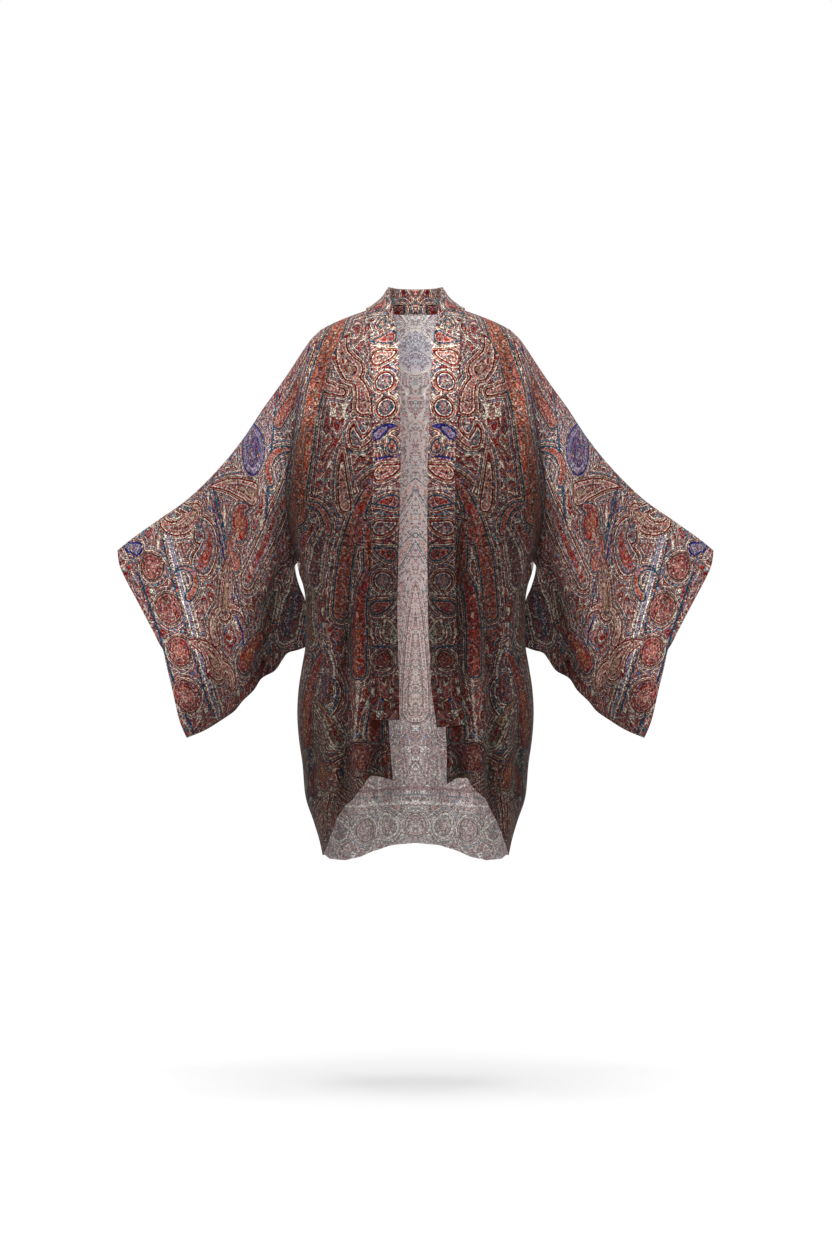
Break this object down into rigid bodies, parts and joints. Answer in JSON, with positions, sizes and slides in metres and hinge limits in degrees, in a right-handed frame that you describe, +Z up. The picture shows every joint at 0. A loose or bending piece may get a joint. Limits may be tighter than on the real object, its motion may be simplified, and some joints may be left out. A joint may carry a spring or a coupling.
{
  "type": "kimono jacket",
  "caption": "Open kimono-style jacket with wide square sleeves, a doubled neckband and a hem that curves up at the front, filled out as worn.",
  "frame": {"origin": "middle of the neck base, level with the shoulders that hold the jacket up", "axes": "+X towards the wearer's left, -Y the front that opens, +Z up"},
  "size_m": [1.039, 0.2464, 1.0145],
  "materials": {
    "printed_cloth": "soft matt printed weave",
    "neckband_cloth": "soft matt printed weave, doubled"
  },
  "bodies": {
    "root": {"back": "printed_cloth", "front_left": "printed_cloth", "front_right": "printed_cloth", "sleeve_left_front": "printed_cloth", "sleeve_left_back": "printed_cloth", "sleeve_right_front": "printed_cloth", "sleeve_right_back": "printed_cloth", "neckband": "neckband_cloth"}
  },
  "joints": []
}
